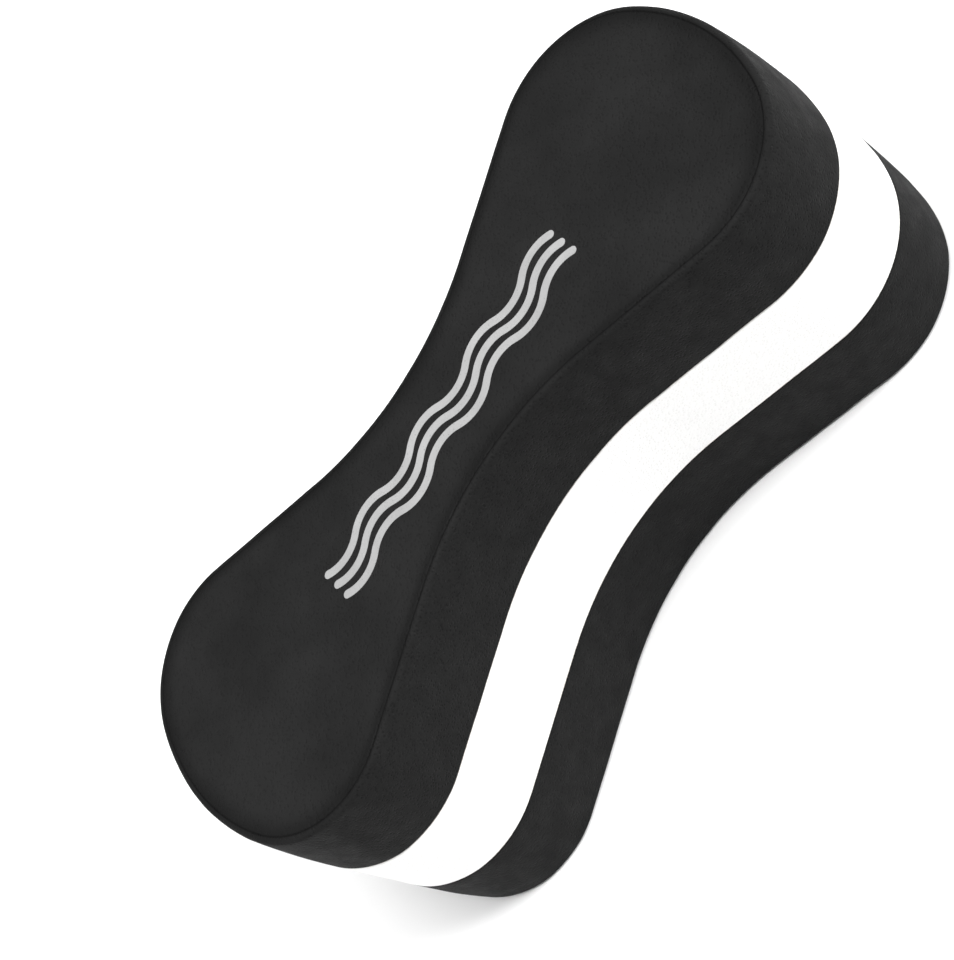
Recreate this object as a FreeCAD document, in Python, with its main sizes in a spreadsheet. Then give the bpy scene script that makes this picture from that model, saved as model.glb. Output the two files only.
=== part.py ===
"""Pull buoy: a figure-of-eight swimming float, cut from foam sheet and glued up in three slabs.

Y runs along the float, X across it and Z through its thickness, with the printed face up.
The origin is the middle of the rear face. Every slab has the same outline: a large arc at each
end, a smaller shoulder arc on each side of it, a straight flank and a hollow waist arc.
"""
import FreeCAD, Part
import math
import os
import Sketcher

# Driving dimensions, in millimetres, with the wall's lean in degrees.
SIZES = {
    "body_length": 240.0,
    "bulb_width": 92.5,
    "waist_width": 45.0,
    "end_radius": 66.0,
    "shoulder_radius": 33.8,
    "waist_radius": 93.0,
    "black_thickness": 30.0,
    "white_thickness": 30.0,
    "bond_thickness": 0.2,
    "bond_setback": 0.3,
    "wall_lean": 2.8,
    "edge_rounding": 1.5,
    "print_thickness": 0.1,
    "print_across": 0.6,
    "print_along": 2.3,
    "stroke_width": 2.4,
    "stroke_spacing": 4.8,
    "half_wave": 13.0,
    "wave_radius": 11.5,
}
HALF_WAVES = 8

# Sketcher's numbers for the sketch axes and for the points of a curve.
X_AXIS, Y_AXIS = -1, -2
START, END, CENTRE = 1, 2, 3
UP = FreeCAD.Vector(0, 0, 1)

doc = FreeCAD.newDocument("pull_buoy")
sheet = doc.addObject("Spreadsheet::Sheet", "Sizes")
for row, (alias, value) in enumerate(SIZES.items(), start=1):
    sheet.set(f"A{row}", alias)
    sheet.set(f"B{row}", str(value))
    sheet.setAlias(f"B{row}", alias)
doc.recompute()


def size(alias):
    return float(sheet.get(alias))


def arc(centre_x, centre_y, radius, first, last):
    """The arc that runs anticlockwise from angle `first` to angle `last`."""
    circle = Part.Circle(FreeCAD.Vector(centre_x, centre_y, 0), UP, radius)
    return Part.ArcOfCircle(circle, first, last)


def bind(sketch, constraint, name, expression):
    """Add a constraint whose value follows the sheet."""
    index = sketch.addConstraint(constraint)
    sketch.renameConstraint(index, name)
    sketch.setExpression(f"Constraints.{name}", expression)


def hold_point(sketch, curve, point, axis, reach, name, expression):
    """Keep a point of a curve at a bound distance from the origin, on the side where it is drawn."""
    ends = (X_AXIS, START, curve, point) if reach > 0 else (curve, point, X_AXIS, START)
    bind(sketch, Sketcher.Constraint(f"Distance{axis}", *ends, abs(reach)), name, expression)


def draw_outline(sketch, setback):
    """Draw the figure of eight; `setback` is 0 or 1 times the amount that a glue line sits back."""
    inset = setback * size("bond_setback")
    end_radius = size("end_radius") - inset
    shoulder_radius = size("shoulder_radius") - inset
    waist_radius = size("waist_radius") + inset

    # The shoulder touches the end arc from inside, and reaches out to the bulb's width.
    end_y = size("body_length") / 2 - size("end_radius")
    shoulder_x = size("bulb_width") / 2 - size("shoulder_radius")
    radius_step = size("end_radius") - size("shoulder_radius")
    lean = math.asin(shoulder_x / radius_step)
    shoulder_y = end_y + radius_step * math.cos(lean)
    waist_x = size("waist_width") / 2 + size("waist_radius")

    # The flank touches the shoulder from outside and the waist circle from its far side.
    across, along = waist_x - shoulder_x, shoulder_y
    gap = math.hypot(across, along)
    flank = math.atan2(along, across) - math.acos((shoulder_radius + waist_radius) / gap)

    # Two equal halves, each turned half a round: waist, flank, shoulder, end, shoulder, flank.
    curves = []
    for half, turn in ((1, 0.0), (-1, math.pi)):
        outward = FreeCAD.Vector(math.cos(flank), -math.sin(flank), 0) * half
        mirrored = FreeCAD.Vector(-outward.x, outward.y, 0)
        near_shoulder = FreeCAD.Vector(shoulder_x, shoulder_y, 0) * half
        far_shoulder = FreeCAD.Vector(-near_shoulder.x, near_shoulder.y, 0)
        near_waist = FreeCAD.Vector(waist_x * half, 0, 0)
        rising = (near_waist - outward * waist_radius, near_shoulder + outward * shoulder_radius)
        falling = (far_shoulder + mirrored * shoulder_radius, -near_waist - mirrored * waist_radius)
        top, back = turn + math.pi / 2, turn + math.pi
        curves += [
            arc(near_waist.x, 0, waist_radius, back - flank, back + flank),
            Part.LineSegment(*rising),
            arc(near_shoulder.x, near_shoulder.y, shoulder_radius, turn - flank, top - lean),
            arc(0, end_y * half, end_radius, top - lean, top + lean),
            arc(far_shoulder.x, far_shoulder.y, shoulder_radius, top + lean, back + flank),
            Part.LineSegment(*falling),
        ]
    sketch.addGeometry(curves)

    waists, ends, shoulders = (0, 6), (3, 9), (2, 4, 8, 10)
    for curve in range(len(curves)):
        following = (curve + 1) % len(curves)
        leaving = START if curve in waists else END
        entering = END if following in waists else START
        sketch.addConstraint(Sketcher.Constraint("Tangent", curve, leaving, following, entering))
    for group in (waists, ends, shoulders):
        for curve in group[1:]:
            sketch.addConstraint(Sketcher.Constraint("Equal", group[0], curve))
    for curve in waists:
        sketch.addConstraint(Sketcher.Constraint("PointOnObject", curve, CENTRE, X_AXIS))
        hold_point(sketch, curve, CENTRE, "X", curves[curve].Center.x, f"waist_{curve}",
                   "Sizes.waist_width / 2 + Sizes.waist_radius")
    for curve in ends:
        sketch.addConstraint(Sketcher.Constraint("PointOnObject", curve, CENTRE, Y_AXIS))
        hold_point(sketch, curve, CENTRE, "Y", curves[curve].Center.y, f"end_{curve}",
                   "Sizes.body_length / 2 - Sizes.end_radius")
    for curve in shoulders:
        hold_point(sketch, curve, CENTRE, "X", curves[curve].Center.x, f"shoulder_{curve}",
                   "Sizes.bulb_width / 2 - Sizes.shoulder_radius")
    inset_text = f"{setback} * Sizes.bond_setback"
    bind(sketch, Sketcher.Constraint("Radius", waists[0], waist_radius), "waist_radius",
         f"Sizes.waist_radius + {inset_text}")
    bind(sketch, Sketcher.Constraint("Radius", ends[0], end_radius), "end_radius",
         f"Sizes.end_radius - {inset_text}")
    bind(sketch, Sketcher.Constraint("Radius", shoulders[0], shoulder_radius), "shoulder_radius",
         f"Sizes.shoulder_radius - {inset_text}")


def layer(label, thickness, level, setback=0, outer=None):
    """One sheet of the stack, padded to `thickness` from its outline at `level`.

    An outer slab's wall leans in towards its outer face, which is "up" or "down" from the outline.
    """
    body = doc.addObject("PartDesign::Body", label)
    sketch = body.newObject("Sketcher::SketchObject", f"{label}_outline")
    plane = next(feature for feature in body.Origin.OriginFeatures if feature.Role == "XY_Plane")
    sketch.AttachmentSupport = (plane, "")
    sketch.MapMode = "FlatFace"
    draw_outline(sketch, setback)
    pad = body.newObject("PartDesign::Pad", f"{label}_pad")
    pad.Profile = sketch
    pad.setExpression("Length", thickness)
    pad.Reversed = outer == "down"
    if outer:
        pad.setExpression("TaperAngle", "-Sizes.wall_lean")
    body.setExpression("Placement.Base.z", level)
    doc.recompute()
    return body


def round_rim(body, outer):
    """Round the edge all round a slab's outer face."""
    pad = body.Tip
    level = size("black_thickness") * (1 if outer == "up" else -1)
    rim = [
        f"Edge{number}" for number, edge in enumerate(pad.Shape.Edges, start=1)
        if all(abs(vertex.Z - level) < 1e-6 for vertex in edge.Vertexes)
    ]
    fillet = body.newObject("PartDesign::Fillet", f"{body.Label}_rounding")
    fillet.Base = (pad, rim)
    fillet.setExpression("Radius", "Sizes.edge_rounding")
    doc.recompute()


def wave_stroke(label, step):
    """One printed wave line: a chain of equal arcs to and fro across its axis, given its width."""
    path = doc.addObject("Sketcher::SketchObject", f"{label}_path")
    radius, chord = size("wave_radius"), size("half_wave")
    reach = math.asin(chord / 2 / radius)
    start_y = -HALF_WAVES / 2 * chord
    for wave in range(HALF_WAVES):
        bulge = 1 if wave % 2 == 0 else -1
        middle = 0.0 if bulge > 0 else math.pi
        centre_x = -bulge * radius * math.cos(reach)
        centre_y = start_y + (wave + 0.5) * chord
        path.addGeometry(arc(centre_x, centre_y, radius, middle - reach, middle + reach))
    for wave in range(HALF_WAVES):
        lower, upper = (START, END) if wave % 2 == 0 else (END, START)
        path.addConstraint(Sketcher.Constraint("PointOnObject", wave, lower, Y_AXIS))
        if wave + 1 < HALF_WAVES:
            path.addConstraint(Sketcher.Constraint("Tangent", wave, upper, wave + 1, upper))
            path.addConstraint(Sketcher.Constraint("Equal", 0, wave + 1))
        else:
            path.addConstraint(Sketcher.Constraint("PointOnObject", wave, upper, Y_AXIS))
    bind(path, Sketcher.Constraint("Radius", 0, radius), "wave_radius", "Sizes.wave_radius")
    hold_point(path, 0, START, "Y", start_y, "start", f"{HALF_WAVES / 2} * Sizes.half_wave")
    bind(path, Sketcher.Constraint("DistanceY", 0, START, 0, END, chord), "half_wave", "Sizes.half_wave")

    band = doc.addObject("Part::Offset2D", f"{label}_band")
    band.Source = path
    band.Mode = "Pipe"
    band.Fill = True
    band.setExpression("Value", "Sizes.stroke_width / 2")
    stroke = doc.addObject("Part::Extrusion", label)
    stroke.Base = band
    stroke.DirMode = "Custom"
    stroke.Dir = UP
    stroke.Solid = True
    stroke.setExpression("LengthFwd", "Sizes.print_thickness")
    stroke.setExpression("Placement.Base.x", f"Sizes.print_across + {step} * Sizes.stroke_spacing")
    stroke.setExpression("Placement.Base.y", "Sizes.print_along")
    stroke.setExpression("Placement.Base.z", f"{FRONT_BASE} + Sizes.black_thickness")
    doc.recompute()
    return stroke


# The stack, from the rear face up. Each level is where that layer's outline lies.
WHITE_BASE = "Sizes.black_thickness + Sizes.bond_thickness"
WHITE_TOP = f"{WHITE_BASE} + Sizes.white_thickness"
FRONT_BASE = f"{WHITE_TOP} + Sizes.bond_thickness"
rear_slab = layer("rear_foam_slab", "Sizes.black_thickness", "Sizes.black_thickness", outer="down")
rear_bond = layer("rear_bond_film", "Sizes.bond_thickness", "Sizes.black_thickness", setback=1)
middle_slab = layer("middle_foam_slab", "Sizes.white_thickness", WHITE_BASE)
front_bond = layer("front_bond_film", "Sizes.bond_thickness", WHITE_TOP, setback=1)
front_slab = layer("front_foam_slab", "Sizes.black_thickness", FRONT_BASE, outer="up")
round_rim(rear_slab, "down")
round_rim(front_slab, "up")
strokes = [
    wave_stroke(f"wave_print_{place}", step) for place, step in (("left", -1), ("middle", 0), ("right", 1))
]

pieces = [rear_slab, rear_bond, middle_slab, front_bond, front_slab, *strokes]
for item in doc.Objects:
    if "Invalid" in item.State or "Error" in item.State:
        raise RuntimeError(f"{item.Label} did not rebuild: {item.State}")
os.makedirs("parts", exist_ok=True)
for piece in pieces:
    shape = piece.Shape
    if shape.isNull() or not shape.isValid() or len(shape.Solids) != 1:
        raise RuntimeError(f"{piece.Label} is not one valid solid")
    shape.exportStep(f"parts/{piece.Label}.step")
    box = shape.BoundBox
    print(f"{piece.Label}: {shape.Volume / 1000:.2f} cm3, X {box.XMin:.1f} to {box.XMax:.1f}, "
          f"Y {box.YMin:.1f} to {box.YMax:.1f}, Z {box.ZMin:.1f} to {box.ZMax:.1f}")
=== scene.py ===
"""Pull buoy: three foam slabs glued in a stack, with rounded outer rims, a fine skin and a printed mark.

The outline repeats the CAD model's arcs. Added here are the foam's finish (walls that bow in, a pressed line
round each outer face, sanded unevenness) and the materials. The glue films and the ink keep their CAD shapes.
"""
import bmesh
import bpy
import math
import numpy as np
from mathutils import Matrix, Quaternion, Vector

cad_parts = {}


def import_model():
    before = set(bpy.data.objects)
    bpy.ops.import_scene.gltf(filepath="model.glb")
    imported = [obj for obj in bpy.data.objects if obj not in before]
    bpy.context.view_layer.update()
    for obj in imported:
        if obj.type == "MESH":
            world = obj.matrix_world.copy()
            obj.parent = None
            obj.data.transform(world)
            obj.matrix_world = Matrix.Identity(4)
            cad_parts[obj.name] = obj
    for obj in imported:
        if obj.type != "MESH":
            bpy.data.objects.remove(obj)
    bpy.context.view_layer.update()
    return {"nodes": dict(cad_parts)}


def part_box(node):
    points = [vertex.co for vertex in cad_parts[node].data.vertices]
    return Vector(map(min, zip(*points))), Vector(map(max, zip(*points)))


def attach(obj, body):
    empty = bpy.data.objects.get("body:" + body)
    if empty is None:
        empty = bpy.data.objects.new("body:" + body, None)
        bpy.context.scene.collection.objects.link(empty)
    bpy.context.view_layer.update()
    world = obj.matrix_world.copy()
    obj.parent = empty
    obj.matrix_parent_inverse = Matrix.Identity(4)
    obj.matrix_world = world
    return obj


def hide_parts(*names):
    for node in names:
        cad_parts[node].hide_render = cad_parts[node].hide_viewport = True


MM = 0.001
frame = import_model()

# ---------------------------------------------------------------------------
# Driving dimensions: the CAD model's outline
# ---------------------------------------------------------------------------
END_RADIUS = 66.0 * MM
SHOULDER_RADIUS = 33.8 * MM
WAIST_RADIUS = 93.0 * MM
WAIST_WIDTH = 45.0 * MM

# ---------------------------------------------------------------------------
# Finish of the foam
# ---------------------------------------------------------------------------
WALL_BOW = 1.45 * MM          # how far the walls lean in at the two outer faces
BOW_POWER = 4                 # the lean grows with this power of the height from the middle
RIM_RADIUS = 1.5 * MM         # rounding of the two outer edges
SEAM_BEVEL = 0.35 * MM        # rounding of the edges at the glue lines
CREASE_WIDTH = 0.8 * MM       # the pressed line where the flat face meets the rounded rim
CREASE_DEPTH = 0.15 * MM
WALL_WAVE = 0.10 * MM         # hand-sanded unevenness of the walls
WALL_WAVE_LENGTH = 26 * MM
FACE_WAVE = 0.05 * MM         # unevenness of the two outer faces
FACE_WAVE_LENGTH = 45 * MM
FACE_WAVE_ONSET = 6           # it is full at one part in this many of the way in from the rim

# How much shade is painted into the foam's colour, from 0 to 1.
RIM_PAINTED_SHADE = 0.45            # at the top of the rounded rim
BAND_PAINTED_SHADE = 0.60           # on the flat face beside the rim
BAND_WIDTH = 3.2 * MM         # the distance in which that band fades
CREASE_PAINTED_SHADE = 0.40         # added to the band in the pressed line
SEAM_PAINTED_SHADE = 0.50           # at the glue lines

# ---------------------------------------------------------------------------
# Fineness of the meshes
# ---------------------------------------------------------------------------
POINTS_PER_SIDE = 300         # outline points from one tip to the other
WALL_STEP = 1.6 * MM          # height between two rings of the wall
RIM_STEPS = 10
BEVEL_POINTS = 5
CREASE_STOPS = (0.2, 0.35, 0.5, 0.65, 0.8, 1.0)   # rings over the pressed line, as shares of its width
FACE_RINGS = 26
HIDDEN_RINGS = 5              # rings on a glued face
RING_CROWDING = 1.25          # above 1, a face's rings crowd towards its rim
SPINE_SHARE = 0.62            # the middle line that the faces are drawn in to, as a share of the length

rear_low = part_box("rear_foam_slab")[0]
front_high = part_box("front_foam_slab")[1]
middle_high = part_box("middle_foam_slab")[1]
HALF_LENGTH, HALF_WIDTH = middle_high.y, middle_high.x
MIDDLE_LEVEL = (rear_low.z + front_high.z) / 2
HALF_THICKNESS = (front_high.z - rear_low.z) / 2


# ---------------------------------------------------------------------------
# Outline
# ---------------------------------------------------------------------------
def outline_side(count):
    """Points, outward normals and distances down the right-hand side, from the +Y tip to the -Y tip."""
    end_y = HALF_LENGTH - END_RADIUS
    shoulder_x = HALF_WIDTH - SHOULDER_RADIUS
    radius_step = END_RADIUS - SHOULDER_RADIUS
    lean = math.asin(shoulder_x / radius_step)
    shoulder = np.array([shoulder_x, end_y + radius_step * math.cos(lean)])
    waist = np.array([WAIST_WIDTH / 2 + WAIST_RADIUS, 0.0])
    across, along = waist[0] - shoulder[0], shoulder[1]
    gap = math.hypot(across, along)
    flank = math.atan2(along, across) - math.acos((SHOULDER_RADIUS + WAIST_RADIUS) / gap)
    flank_normal = np.array([math.cos(flank), -math.sin(flank)])
    down = np.array([-math.sin(flank), -math.cos(flank)])
    flank_start = shoulder + SHOULDER_RADIUS * flank_normal
    flank_length = np.linalg.norm(waist - WAIST_RADIUS * flank_normal - flank_start)

    # The upper quarter's stretches: end arc, shoulder arc, straight flank, waist arc.
    stretches = [END_RADIUS * lean, SHOULDER_RADIUS * (math.pi / 2 - lean + flank),
                 flank_length, WAIST_RADIUS * flank]
    stops = np.cumsum([0.0, *stretches])
    half = stops[-1]
    points, normals, travel = [], [], np.linspace(0.0, 2 * half, count)
    for distance in travel:
        reach = min(distance, 2 * half - distance)
        if reach <= stops[1]:
            angle = math.pi / 2 - reach / END_RADIUS
            normal = np.array([math.cos(angle), math.sin(angle)])
            point = np.array([0.0, end_y]) + END_RADIUS * normal
        elif reach <= stops[2]:
            angle = math.pi / 2 - lean - (reach - stops[1]) / SHOULDER_RADIUS
            normal = np.array([math.cos(angle), math.sin(angle)])
            point = shoulder + SHOULDER_RADIUS * normal
        elif reach <= stops[3]:
            normal = flank_normal
            point = flank_start + down * (reach - stops[2])
        else:
            angle = flank - (reach - stops[3]) / WAIST_RADIUS
            normal = np.array([math.cos(angle), -math.sin(angle)])
            point = waist - WAIST_RADIUS * normal
        flip = np.array([1.0, 1.0 if distance <= half else -1.0])
        points.append(point * flip)
        normals.append(normal * flip)
    return np.array(points), np.array(normals), travel


right_points, right_normals, right_travel = outline_side(POINTS_PER_SIDE)
MIRROR = np.array([-1.0, 1.0])
OUTLINE = np.vstack([right_points, right_points[-2:0:-1] * MIRROR])
NORMALS = np.vstack([right_normals, right_normals[-2:0:-1] * MIRROR])
AROUND = np.concatenate([right_travel, right_travel[-2:0:-1]])
RING = len(OUTLINE)


# ---------------------------------------------------------------------------
# Foam slabs
#
# A slab is a stack of rings of RING points. A station says how one ring of the wall is made: (inset from the
# outline, level, skin, painted shade). Skin is 0 on the cut walls and 1 on the faces; painted shade is how
# strongly shade is painted into the colour.
# ---------------------------------------------------------------------------
def waves(seed, u, v, length, count=7):
    """A smooth random field of about unit size over two coordinates, from a few plane waves."""
    rng = np.random.default_rng(seed)
    field = np.zeros(np.broadcast(u, v).shape)
    for _ in range(count):
        heading, phase = rng.uniform(0, math.pi), rng.uniform(0, 2 * math.pi)
        pitch = 2 * math.pi / (length * rng.uniform(0.7, 1.6))
        field = field + np.sin(pitch * (u * math.cos(heading) + v * math.sin(heading)) + phase)
    return field / math.sqrt(count)


def wall_inset(level):
    return WALL_BOW * abs((level - MIDDLE_LEVEL) / HALF_THICKNESS) ** BOW_POWER


def outer_edge(level, inward):
    """Stations from the wall round the rim and over the crease to an outer face's flat, with the shade
    painted along them.
    """
    stations = []
    for step in range(RIM_STEPS + 1):
        turn = math.pi / 2 * step / RIM_STEPS
        height = level + inward * RIM_RADIUS * (1 - math.sin(turn))
        inset = wall_inset(height) + RIM_RADIUS * (1 - math.cos(turn))
        # Shade is painted into the colour over the rim, most where it meets the face.
        stations.append((inset, height, math.sin(turn) ** 2, RIM_PAINTED_SHADE * math.sin(turn) ** 4))
    flat_inset = stations[-1][0]
    for share in CREASE_STOPS:
        press = math.sin(math.pi * share) ** 2
        # The flat beside the rim gets a band of painted shade, darkest in the crease.
        stations.append((flat_inset + CREASE_WIDTH * share, level + inward * CREASE_DEPTH * press, 1.0,
                         press * CREASE_PAINTED_SHADE + BAND_PAINTED_SHADE))
    return stations


def glued_edge(level, inward):
    """Stations from the wall over a small bevel on to a glued face."""
    stations = []
    for turn in np.linspace(0.0, math.pi / 2, BEVEL_POINTS):
        height = level + inward * SEAM_BEVEL * (1 - math.sin(turn))
        inset = wall_inset(height) + SEAM_BEVEL * (1 - math.cos(turn))
        # The bevel at the glue line gets painted shade.
        stations.append((inset, height, 0.0, SEAM_PAINTED_SHADE * math.sin(turn)))
    return stations


def wall_ring(station, seed):
    """One station's ring, as its points, skin and painted shade."""
    inset, level, skin, painted_shade = station
    uneven = WALL_WAVE * (1 - skin) * waves(seed, AROUND, level, WALL_WAVE_LENGTH)
    points = OUTLINE - NORMALS * (inset + abs(uneven))[:, None]
    return np.column_stack([points, np.full(RING, level)]), np.full(RING, skin), np.full(RING, painted_shade)


def face_rings(rim, edge, inward, seed):
    """Rings from a face's rim in to its middle line; the last one lies on the line."""
    outer = edge is outer_edge
    spine = np.column_stack([np.zeros(RING), OUTLINE[:, 1] * SPINE_SHARE, rim[:, 2]])
    rings = []
    for share in np.linspace(0, 1, (FACE_RINGS if outer else HIDDEN_RINGS) + 1)[1:] ** RING_CROWDING:
        points = rim * (1 - share) + spine * share
        painted_shade = np.zeros(RING)
        if outer:
            dip = FACE_WAVE * np.abs(waves(seed, points[:, 0], points[:, 1], FACE_WAVE_LENGTH))
            points[:, 2] += inward * dip * min(1.0, share * FACE_WAVE_ONSET)
            apart = np.linalg.norm(points[:, :2] - rim[:, :2], axis=1)
            # A band of painted shade fades inwards from the rim.
            painted_shade = BAND_PAINTED_SHADE * np.exp(-(apart / BAND_WIDTH) ** 2)
        rings.append((points, np.ones(RING), painted_shade))
    return rings


def closed_mesh(name, rings):
    """A closed mesh over rings from one face's middle line to the other's, with skin, painted shade and
    distance round as attributes.
    """
    # A ring that lies on a middle line has one vertex for each pair of mirrored points.
    fold = np.array([k if k < POINTS_PER_SIDE else RING - k for k in range(RING)])
    index, vertices, skin, painted_shade, around = [], [], [], [], []
    for number, (ring_points, ring_skin, ring_burnish) in enumerate(rings):
        on_spine = number in (0, len(rings) - 1)
        kept = POINTS_PER_SIDE if on_spine else RING
        index.append(len(vertices) + (fold if on_spine else np.arange(RING)))
        vertices.extend(map(tuple, ring_points[:kept]))
        skin.extend(ring_skin[:kept])
        painted_shade.extend(ring_burnish[:kept])
        around.extend(AROUND[:kept])
    faces = []
    for lower, upper in zip(index, index[1:]):
        for k in range(RING):
            after = (k + 1) % RING
            faces.append((int(lower[k]), int(upper[k]), int(upper[after]), int(lower[after])))
    mesh = bpy.data.meshes.new(name)
    mesh.from_pydata(vertices, [], faces)
    for title, values in (("skin", skin), ("painted_shade", painted_shade), ("around", around)):
        mesh.attributes.new(title, "FLOAT", "POINT").data.foreach_set("value", np.array(values, np.float32))
    mesh.polygons.foreach_set("use_smooth", [True] * len(mesh.polygons))
    shaper = bmesh.new()
    shaper.from_mesh(mesh)
    bmesh.ops.recalc_face_normals(shaper, faces=shaper.faces)
    shaper.to_mesh(mesh)
    shaper.free()
    return mesh


def add_object(name, data):
    """Put a mesh, light or camera into the scene as an object."""
    made = bpy.data.objects.new(name, data)
    bpy.context.scene.collection.objects.link(made)
    return made


def slab(name, low, high, low_edge, high_edge, seed):
    """A closed slab between two levels; each edge is outer_edge or glued_edge."""
    bottom, top = low_edge(low, 1.0)[::-1], high_edge(high, -1.0)
    count = max(2, round((top[0][1] - bottom[-1][1]) / WALL_STEP))
    levels = np.linspace(bottom[-1][1], top[0][1], count + 1)[1:-1]
    stations = [*bottom, *((wall_inset(level), level, 0.0, 0.0) for level in levels), *top]
    wall = [wall_ring(station, seed) for station in stations]
    below = face_rings(wall[0][0], low_edge, 1.0, seed + 1)[::-1]
    above = face_rings(wall[-1][0], high_edge, -1.0, seed + 1)
    return add_object(name, closed_mesh(name, below + wall + above))


# ---------------------------------------------------------------------------
# Materials: the scales are in features to the metre
# ---------------------------------------------------------------------------
CLOUD_SCALE = 34.0            # broad patches of tint
HOLLOW_SCALE = 120.0          # soft hollows
SHEEN_SCALE = 160.0           # patches of rougher and smoother foam
SANDING_SCALE = 420.0         # sanding lines
PEBBLE_SCALE = 900.0          # the moulded skin's grain
CELL_SCALE = 1150.0           # open cells
FLECK_SCALE = 2600.0          # single pale cells
STREAK_STRETCH = 14.0         # sanding lines are this many times longer than they are wide
CELL_WALLS = (0.05, 0.55)     # the distances from a cell's middle between which its hollow rises

HOLLOW_DEPTH = 0.10 * MM
SANDING_DEPTH = 0.10 * MM
PEBBLE_DEPTH = 0.05 * MM

INK_TINT_SCALE = 60.0
PINHOLE_SCALE = 2100.0
INK_CELL_DEPTH = 0.05 * MM

BEAD_SCALE = 700.0            # beads of dried glue
BEAD_HEIGHT = 0.08 * MM


class Recipe:
    """A material's node tree, with short calls for the nodes that foam, glue, ink and floor share."""

    def __init__(self, name):
        self.material = bpy.data.materials.new(name)
        self.material.use_nodes = True
        self.nodes = self.material.node_tree.nodes
        self.links = self.material.node_tree.links
        self.shader = self.nodes["Principled BSDF"]
        self.place = self.nodes.new("ShaderNodeTexCoord").outputs["Object"]

    def put(self, socket, value):
        """Link a socket to another node's output, or set a plain number or colour on it."""
        if isinstance(value, bpy.types.NodeSocket):
            self.links.new(value, socket)
        else:
            socket.default_value = value

    def attribute(self, name):
        node = self.nodes.new("ShaderNodeAttribute")
        node.attribute_name = name
        return node.outputs["Fac"]

    def noise(self, scale, detail=3.0, roughness=0.5, place=None):
        node = self.nodes.new("ShaderNodeTexNoise")
        self.put(node.inputs["Vector"], place or self.place)
        node.inputs["Scale"].default_value = scale
        node.inputs["Detail"].default_value = detail
        node.inputs["Roughness"].default_value = roughness
        return node.outputs["Fac"]

    def cells(self, scale):
        """Distance from the middle of the nearest cell, in cells."""
        node = self.nodes.new("ShaderNodeTexVoronoi")
        node.feature = "F1"
        self.put(node.inputs["Vector"], self.place)
        node.inputs["Scale"].default_value = scale
        return node.outputs["Distance"]

    def spread(self, value, low, high, to_low=0.0, to_high=1.0):
        """Ease from to_low to to_high while a value goes from low to high, and hold outside."""
        node = self.nodes.new("ShaderNodeMapRange")
        node.clamp = True
        node.interpolation_type = "SMOOTHSTEP"
        self.put(node.inputs["Value"], value)
        for socket, number in (("From Min", low), ("From Max", high),
                               ("To Min", to_low), ("To Max", to_high)):
            self.put(node.inputs[socket], number)
        return node.outputs["Result"]

    def maths(self, operation, first, second):
        node = self.nodes.new("ShaderNodeMath")
        node.operation = operation
        self.put(node.inputs[0], first)
        self.put(node.inputs[1], second)
        return node.outputs["Value"]

    def mix(self, share, first, second):
        node = self.nodes.new("ShaderNodeMix")
        node.data_type = "RGBA"
        self.put(node.inputs["Factor"], share)
        self.put(node.inputs["A"], first)
        self.put(node.inputs["B"], second)
        return node.outputs["Result"]

    def streaks(self):
        """Coordinates squeezed in height, so that noise runs in fine lines along the wall."""
        height = self.nodes.new("ShaderNodeSeparateXYZ")
        self.put(height.inputs["Vector"], self.place)
        line = self.nodes.new("ShaderNodeCombineXYZ")
        self.put(line.inputs["X"], self.attribute("around"))
        self.put(line.inputs["Y"], self.maths("MULTIPLY", height.outputs["Z"], STREAK_STRETCH))
        return line.outputs["Vector"]

    def bump(self, height, distance, strength=1.0, under=None):
        """A normal with relief; under is the normal that it is laid over."""
        node = self.nodes.new("ShaderNodeBump")
        node.inputs["Strength"].default_value = strength
        node.inputs["Distance"].default_value = distance
        self.put(node.inputs["Height"], height)
        if under is not None:
            self.put(node.inputs["Normal"], under)
        return node.outputs["Normal"]

    def finish(self, colour, roughness, normal, specular):
        self.put(self.shader.inputs["Base Color"], colour)
        self.put(self.shader.inputs["Roughness"], roughness)
        self.put(self.shader.inputs["Normal"], normal)
        self.shader.inputs["Specular IOR Level"].default_value = specular
        return self.material


def grey(value, warmth=0.0):
    return (value * (1 + warmth), value, value * (1 - warmth), 1.0)


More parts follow.
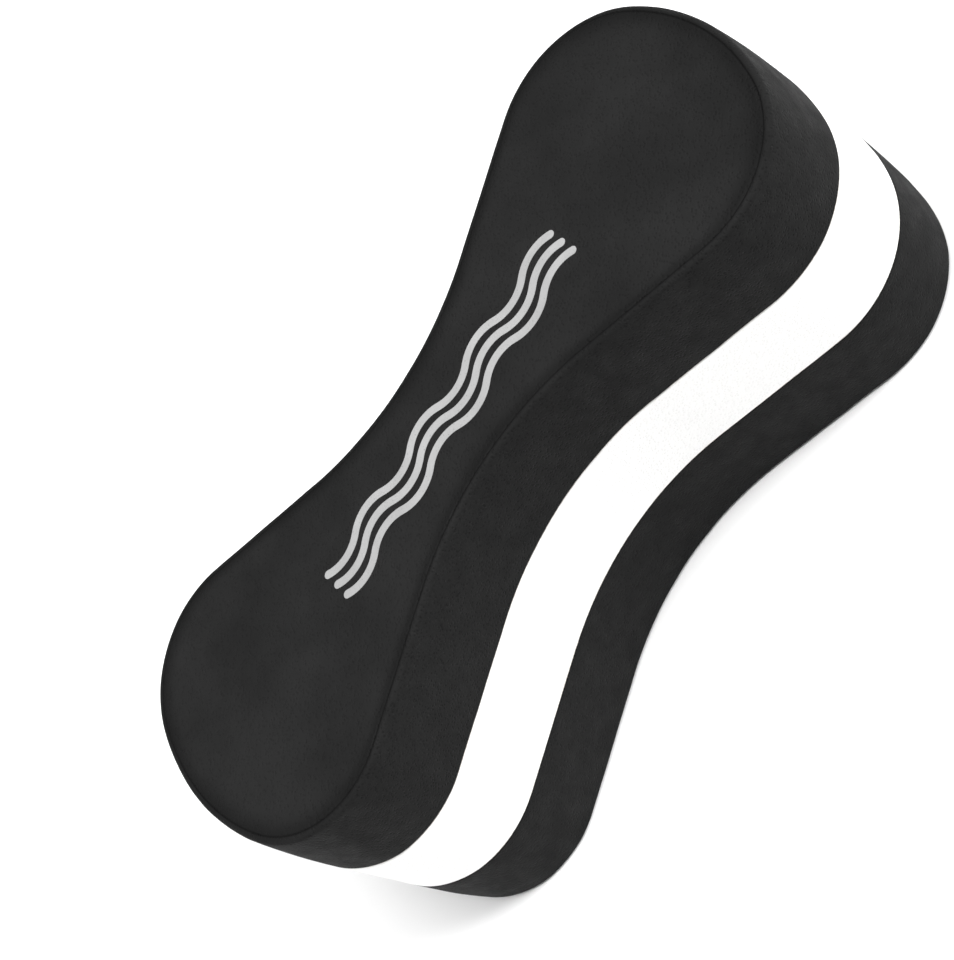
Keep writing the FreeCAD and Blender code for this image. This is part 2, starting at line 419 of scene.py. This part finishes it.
def foam(name, painted_shade_colour, wall_shade_colour, deep, body, pale, specular, pore_depth):
    """Closed-cell foam: a tight pebbled skin on the faces, and sliced, sanded cells on the walls.

    The colours are those of painted shade in rims, crease, seams and pores, of the walls (painted darker than
    the skin, as shade), of the skin (cloudy, from deep to body) and of flecks.
    """
    r = Recipe(name)
    skin, painted_shade = r.attribute("skin"), r.attribute("painted_shade")

    def by_skin(on_wall, on_face, all_skin=1.0):
        """A number that eases from its value on the walls to its value where skin reaches all_skin."""
        return r.spread(skin, 0.0, all_skin, on_wall, on_face)

    sanded = r.noise(SANDING_SCALE, 4.0, 0.6, r.streaks())
    pebble = r.noise(PEBBLE_SCALE, 3.0, 0.55)
    cells = r.cells(CELL_SCALE)
    pore = r.spread(cells, 0.10, 0.42, 1.0, 0.0)
    cloud = r.noise(CLOUD_SCALE, 4.0, 0.6)
    fleck = r.spread(r.noise(FLECK_SCALE, 2.0, 0.6), 0.52, 0.78)

    # Colour: the cloudy skin and the walls painted darker as shade, then flecks and sanding lines, then
    # painted shade in the pores and along rims, crease and seams.
    tone = r.mix(r.spread(cloud, 0.25, 0.75), deep, body)
    # The walls are painted darker than the skin, as painted shade.
    tone = r.mix(by_skin(0.9, 0.0), tone, wall_shade_colour)
    tone = r.mix(r.maths("MULTIPLY", fleck, by_skin(0.30, 0.12)), tone, pale)
    tone = r.mix(r.maths("MULTIPLY", sanded, by_skin(0.16, 0.0, 0.6)), tone, pale)
    # Painted shade in the hollows of the open cells.
    tone = r.mix(r.maths("MULTIPLY", pore, by_skin(0.60, 0.25)), tone, painted_shade_colour)
    # Painted shade along the rims, the crease and the seams.
    tone = r.mix(r.maths("MULTIPLY", painted_shade, 0.9), tone, painted_shade_colour)

    # Roughness: patchy, and a little less where shade is painted along rims, crease and seams.
    rough = r.spread(r.noise(SHEEN_SCALE, 4.0, 0.6), 0.25, 0.75, 0.66, 0.84)
    rough = r.maths("SUBTRACT", rough, r.maths("MULTIPLY", painted_shade, 0.12))

    # Relief: soft hollows, sanding lines on the walls, open cells, and the skin's pebbles.
    normal = r.bump(r.noise(HOLLOW_SCALE, 2.0, 0.5), HOLLOW_DEPTH, 0.5)
    normal = r.bump(r.maths("MULTIPLY", sanded, by_skin(1.0, 0.0, 0.6)), SANDING_DEPTH, 0.6, normal)
    normal = r.bump(r.spread(cells, *CELL_WALLS), pore_depth, 0.9, normal)
    normal = r.bump(pebble, PEBBLE_DEPTH, 0.7, normal)
    return r.finish(tone, rough, normal, specular)


def adhesive():
    """Dried contact adhesive, seen only as a hairline in the seams."""
    r = Recipe("dried_adhesive")
    beads = r.noise(BEAD_SCALE, 3.0, 0.6)
    tone = r.mix(r.spread(beads, 0.35, 0.65), grey(0.42, 0.10), grey(0.66, 0.06))
    rough = r.spread(beads, 0.3, 0.7, 0.35, 0.6)
    return r.finish(tone, rough, r.bump(beads, BEAD_HEIGHT, 0.8), 0.5)


def ink():
    """Screen-printed ink: thin, light grey, with the foam's grain and a few pinholes showing through."""
    r = Recipe("printed_ink")
    grain = r.noise(PEBBLE_SCALE, 3.0, 0.55)
    pinhole = r.spread(r.noise(PINHOLE_SCALE, 2.0, 0.5), 0.66, 0.74)
    tone = r.mix(r.spread(r.noise(INK_TINT_SCALE, 4.0, 0.6), 0.3, 0.7), grey(0.28), grey(0.33))
    tone = r.mix(r.maths("MULTIPLY", pinhole, 0.7), tone, grey(0.06))
    rough = r.spread(grain, 0.3, 0.7, 0.5, 0.68)
    normal = r.bump(r.spread(r.cells(CELL_SCALE), *CELL_WALLS), INK_CELL_DEPTH, 0.5)
    return r.finish(tone, rough, r.bump(grain, PEBBLE_DEPTH, 0.7, normal), 0.35)


def wear(piece, material):
    """Give a piece its one material."""
    piece.data.materials.clear()
    piece.data.materials.append(material)


# ---------------------------------------------------------------------------
# The object
# ---------------------------------------------------------------------------
BLACK_FOAM = foam("black_foam", painted_shade_colour=grey(0.0015), wall_shade_colour=grey(0.0060), deep=grey(0.0088),
                  body=grey(0.0140), pale=grey(0.030), specular=0.09, pore_depth=0.14 * MM)
WHITE_FOAM = foam("white_foam", painted_shade_colour=grey(0.79, 0.01), wall_shade_colour=grey(0.84, 0.006), deep=grey(0.82, 0.008),
                  body=grey(0.90, 0.004), pale=grey(0.95), specular=0.25, pore_depth=0.10 * MM)

# Name, CAD node, rear edge, front edge, material, slot, and the seed of the slab's unevenness.
SLABS = [
    ("front_foam", "front_foam_slab", glued_edge, outer_edge, BLACK_FOAM, "black_foam", 11),
    ("middle_foam", "middle_foam_slab", glued_edge, glued_edge, WHITE_FOAM, "white_foam", 23),
    ("rear_foam", "rear_foam_slab", outer_edge, glued_edge, BLACK_FOAM, "black_foam", 37),
]
for name, node, low_edge, high_edge, material, slot, seed in SLABS:
    low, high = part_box(node)
    piece = slab(name, low.z, high.z, low_edge, high_edge, seed)
    wear(piece, material)
    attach(piece, "root")
    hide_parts(node)

GLUE, INK = adhesive(), ink()
for node in ("front_bond_film", "rear_bond_film"):
    wear(frame["nodes"][node], GLUE)
for node in ("wave_print_left", "wave_print_middle", "wave_print_right"):
    wear(frame["nodes"][node], INK)


# ---------------------------------------------------------------------------
# Floor, light and camera
# ---------------------------------------------------------------------------
FLOOR_HALF = 6.0              # metres from the middle to each side
FLOOR_TINT_SCALE = 3.0
FLOOR_GRAIN_SCALE = 400.0
FLOOR_GRAIN_HEIGHT = 0.05 * MM
OVERHEAD_GLOW = 0.06          # the surroundings' strength straight up
HORIZON_GLOW = 0.58           # and all round at the floor's level
GLOW_HEIGHT = 0.45            # sine of the elevation at which one has turned into the other

# Distant soft lights: name, azimuth, elevation and width in degrees, and strength.
LIGHTS = [
    ("key_light", 160.0, 35.0, 31.0, 4.0),
    ("top_light", 0.0, 89.9, 42.0, 3.1),
    ("fill_light", 10.0, 20.0, 31.0, 0.9),
]

CAMERA_TARGET = Vector((-10.02, -11.98, 57.0)) * MM
CAMERA_DISTANCE = 578.2 * MM
CAMERA_AZIMUTH = 102.14       # degrees round the object from the -Y side, towards +X
CAMERA_ELEVATION = 46.32
CAMERA_ROLL = 65.46           # the camera's top leans this far to its right
CAMERA_SENSOR = 36.0          # millimetres along the picture's long side
CAMERA_LENS = 80.83           # millimetres
CAMERA_REACH = (0.01, 50.0)   # metres, the nearest and farthest things that it sees


def direction(azimuth, elevation):
    """Unit vector from the object towards a place given like a camera's, in degrees."""
    a, e = math.radians(azimuth), math.radians(elevation)
    return Vector((math.sin(a) * math.cos(e), -math.cos(a) * math.cos(e), math.sin(e)))


def floor():
    """A pale, matt floor at the level of the rear face."""
    mesh = bpy.data.meshes.new("floor")
    corners = [(x * FLOOR_HALF, y * FLOOR_HALF, rear_low.z) for x, y in ((-1, -1), (1, -1), (1, 1), (-1, 1))]
    mesh.from_pydata(corners, [], [(0, 1, 2, 3)])
    made = add_object("floor", mesh)
    r = Recipe("pale_floor")
    tone = r.mix(r.noise(FLOOR_TINT_SCALE, 2.0), grey(0.86), grey(0.89))
    grain = r.bump(r.noise(FLOOR_GRAIN_SCALE), FLOOR_GRAIN_HEIGHT, 0.2)
    wear(made, r.finish(tone, 0.9, grain, 0.1))


def world():
    """Soft surroundings: a pale wall round the floor that fades to a dim ceiling."""
    made = bpy.data.worlds.new("studio")
    made.use_nodes = True
    nodes, links = made.node_tree.nodes, made.node_tree.links
    height = nodes.new("ShaderNodeSeparateXYZ")
    links.new(nodes.new("ShaderNodeTexCoord").outputs["Generated"], height.inputs["Vector"])
    fade = nodes.new("ShaderNodeMapRange")
    fade.interpolation_type = "SMOOTHSTEP"
    links.new(height.outputs["Z"], fade.inputs["Value"])
    for socket, number in (("From Min", 0.0), ("From Max", GLOW_HEIGHT),
                           ("To Min", HORIZON_GLOW), ("To Max", OVERHEAD_GLOW)):
        fade.inputs[socket].default_value = number
    links.new(fade.outputs["Result"], nodes["Background"].inputs["Strength"])
    nodes["Background"].inputs["Color"].default_value = grey(1.0)
    bpy.context.scene.world = made


def soft_light(name, azimuth, elevation, width, strength):
    """A distant light from a place given like a camera's."""
    data = bpy.data.lights.new(name, "SUN")
    data.angle, data.energy = math.radians(width), strength
    made = add_object(name, data)
    back = direction(azimuth, elevation)
    made.location = Vector((0, 0, MIDDLE_LEVEL)) + back
    made.rotation_mode = "QUATERNION"
    made.rotation_quaternion = (-back).to_track_quat("-Z", "Y")


def camera():
    data = bpy.data.cameras.new("camera")
    data.lens, data.sensor_width = CAMERA_LENS, CAMERA_SENSOR
    data.clip_start, data.clip_end = CAMERA_REACH
    made = add_object("camera", data)
    back = direction(CAMERA_AZIMUTH, CAMERA_ELEVATION)
    made.location = CAMERA_TARGET + back * CAMERA_DISTANCE
    made.rotation_mode = "QUATERNION"
    roll = Quaternion((0, 0, 1), -math.radians(CAMERA_ROLL))
    made.rotation_quaternion = (-back).to_track_quat("-Z", "Y") @ roll
    bpy.context.scene.camera = made


floor()
world()
for light in LIGHTS:
    soft_light(*light)
camera()
bpy.context.scene.view_settings.view_transform = "Standard"
